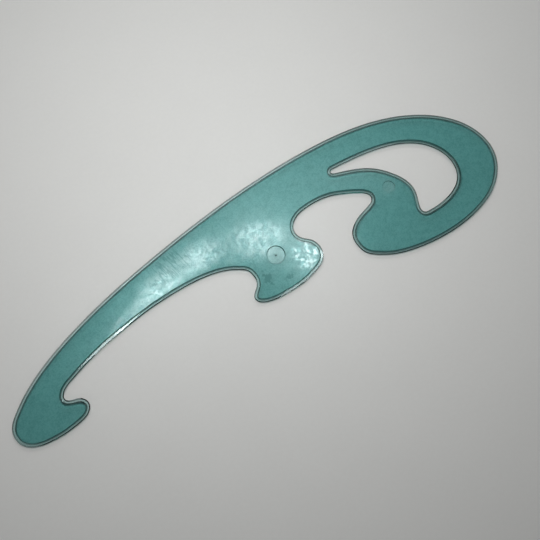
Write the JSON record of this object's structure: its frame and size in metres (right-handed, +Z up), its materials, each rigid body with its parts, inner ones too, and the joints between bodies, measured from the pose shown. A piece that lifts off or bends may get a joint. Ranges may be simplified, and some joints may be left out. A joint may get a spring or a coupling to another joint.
{
  "type": "french curve",
  "caption": "Flat tinted plastic drawing template with a freeform curved edge, a comma-shaped hole and a thin raised inking rim for guiding a pencil or pen.",
  "frame": {"origin": "on the table under the middle of the outline's box", "axes": "+X along the length from the hooked tail to the head, +Y across towards the long back edge, +Z up out of the face with the two round marks"},
  "size_m": [0.28, 0.0756, 0.0018],
  "materials": {
    "tinted_plastic": "glossy moulded translucent teal plastic with fine wear"
  },
  "bodies": {
    "root": {"curve_plate": "tinted_plastic"}
  },
  "joints": []
}
